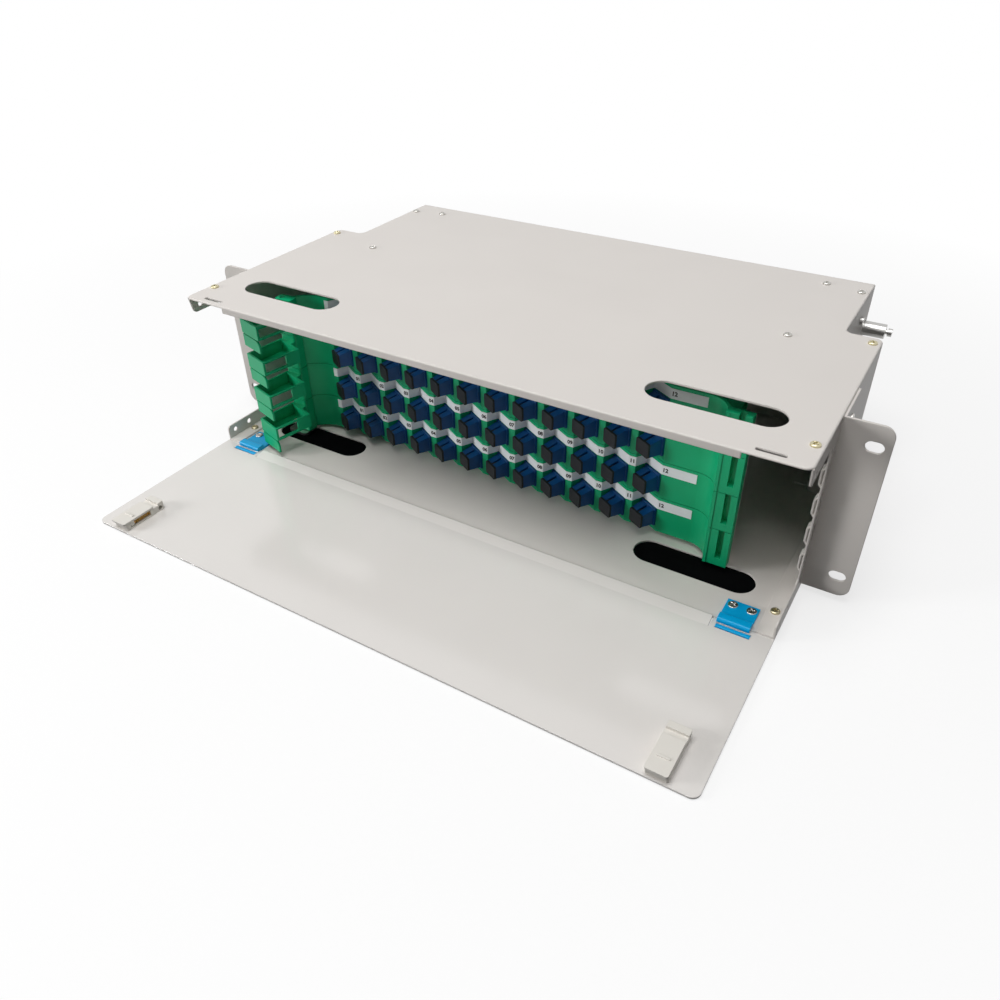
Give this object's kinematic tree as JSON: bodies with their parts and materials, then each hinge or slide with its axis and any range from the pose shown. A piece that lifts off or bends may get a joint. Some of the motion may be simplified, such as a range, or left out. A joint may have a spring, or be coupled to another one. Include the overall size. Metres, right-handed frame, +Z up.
{
  "type": "fibre patch drawer",
  "caption": "Rack case with a fold-down front door, swing-out fibre trays with angled adapters, cord guides and rack ears.",
  "frame": {"origin": "centre of the four rack slots, on the rear face of the ears that bears on the rack rails", "axes": "+X to the right along the ears, +Y to the back into the rack, +Z up"},
  "size_m": [0.4826, 0.3641, 0.1231],
  "materials": {
    "floor_plate": "fine powder coat",
    "side_plate": "fine powder coat",
    "rear_wall": "fine powder coat",
    "top_cover": "fine powder coat",
    "cover_stiffener": "fine powder coat",
    "ear": "fine powder coat",
    "door_panel": "fine powder coat",
    "latch_post": "fine powder coat",
    "cover_screws_yellow": "yellow zinc",
    "floor_screws": "yellow zinc",
    "cover_screws_nickel": "nickel plated",
    "ear_screws": "nickel plated",
    "hinge_screws": "nickel plated",
    "pivot_rod": "ground",
    "pivot_foot": "zinc plated",
    "anchor_post": "turned",
    "anchor_screw": "turned",
    "earth_boss": "turned",
    "hinge_leaf": "moulded satin",
    "hinge_hook": "moulded satin",
    "latch_housing": "moulded satin",
    "latch_bolt": "moulded satin",
    "latch_spring": "drawn wire",
    "tray_base": "moulded satin",
    "cord_guide": "moulded satin",
    "adapters": "moulded satin",
    "dust_caps": "moulded satin",
    "label_strip": "printed film",
    "splice_holder": "moulded satin",
    "splice_cover": "clear"
  },
  "bodies": {
    "chassis": {"floor_plate": "floor_plate", "side_plate_left": "side_plate", "side_plate_right": "side_plate", "rear_wall": "rear_wall", "top_cover": "top_cover", "cover_stiffener": "cover_stiffener", "cover_screws_yellow": "cover_screws_yellow", "cover_screws_nickel": "cover_screws_nickel", "floor_screws": "floor_screws", "ear_left": "ear", "ear_right": "ear", "ear_screws": "ear_screws", "hinge_leaf_left": "hinge_leaf", "hinge_leaf_right": "hinge_leaf", "hinge_screws": "hinge_screws", "pivot_rod": "pivot_rod", "pivot_foot": "pivot_foot", "latch_post": "latch_post", "anchor_post": "anchor_post", "anchor_screw": "anchor_screw", "earth_boss": "earth_boss"},
    "door": {"door_panel": "door_panel", "latch_housing_left": "latch_housing", "latch_housing_right": "latch_housing", "hinge_hook_left": "hinge_hook", "hinge_hook_right": "hinge_hook"},
    "latch_left": {"latch_bolt_left": "latch_bolt", "latch_spring_left": "latch_spring"},
    "latch_right": {"latch_bolt_right": "latch_bolt", "latch_spring_right": "latch_spring"},
    "tray_1": {"tray_base_1": "tray_base", "adapters_1": "adapters", "dust_caps_1": "dust_caps", "label_strip_1": "label_strip", "cord_guide_1": "cord_guide", "splice_holder_1": "splice_holder", "splice_cover_1": "splice_cover"},
    "tray_2": {"tray_base_2": "tray_base", "adapters_2": "adapters", "dust_caps_2": "dust_caps", "label_strip_2": "label_strip", "cord_guide_2": "cord_guide", "splice_holder_2": "splice_holder", "splice_cover_2": "splice_cover"},
    "tray_3": {"tray_base_3": "tray_base", "adapters_3": "adapters", "dust_caps_3": "dust_caps", "label_strip_3": "label_strip", "cord_guide_3": "cord_guide", "splice_holder_3": "splice_holder", "splice_cover_3": "splice_cover"},
    "tray_4": {"tray_base_4": "tray_base", "adapters_4": "adapters", "dust_caps_4": "dust_caps", "label_strip_4": "label_strip", "cord_guide_4": "cord_guide", "splice_holder_4": "splice_holder", "splice_cover_4": "splice_cover"}
  },
  "joints": [
    {"name": "door_hinge", "type": "hinge", "parent": "chassis", "child": "door", "pos_m": [0, -0.05865, -0.05645], "axis": [1, 0, 0], "range_deg": [-90, 0]},
    {"name": "latch_left_slide", "type": "slide", "parent": "door", "child": "latch_left", "axis": [0, 1, 0], "range_m": [0, 0.004], "stiffness_N_per_m": 500, "springref_m": -0.004, "deforming": ["latch_spring_left"]},
    {"name": "latch_right_slide", "type": "slide", "parent": "door", "child": "latch_right", "axis": [0, 1, 0], "range_m": [0, 0.004], "stiffness_N_per_m": 500, "springref_m": -0.004, "deforming": ["latch_spring_right"]},
    {"name": "tray_1_swing", "type": "hinge", "parent": "chassis", "child": "tray_1", "pos_m": [-0.1742, -0.0111, 0], "axis": [0, 0, -1], "range_deg": [0, 75]},
    {"name": "tray_2_swing", "type": "hinge", "parent": "chassis", "child": "tray_2", "pos_m": [-0.1742, -0.0111, 0], "axis": [0, 0, -1], "range_deg": [0, 75]},
    {"name": "tray_3_swing", "type": "hinge", "parent": "chassis", "child": "tray_3", "pos_m": [-0.1742, -0.0111, 0], "axis": [0, 0, -1], "range_deg": [0, 75]},
    {"name": "tray_4_swing", "type": "hinge", "parent": "chassis", "child": "tray_4", "pos_m": [-0.1742, -0.0111, 0], "axis": [0, 0, -1], "range_deg": [0, 75]}
  ]
}
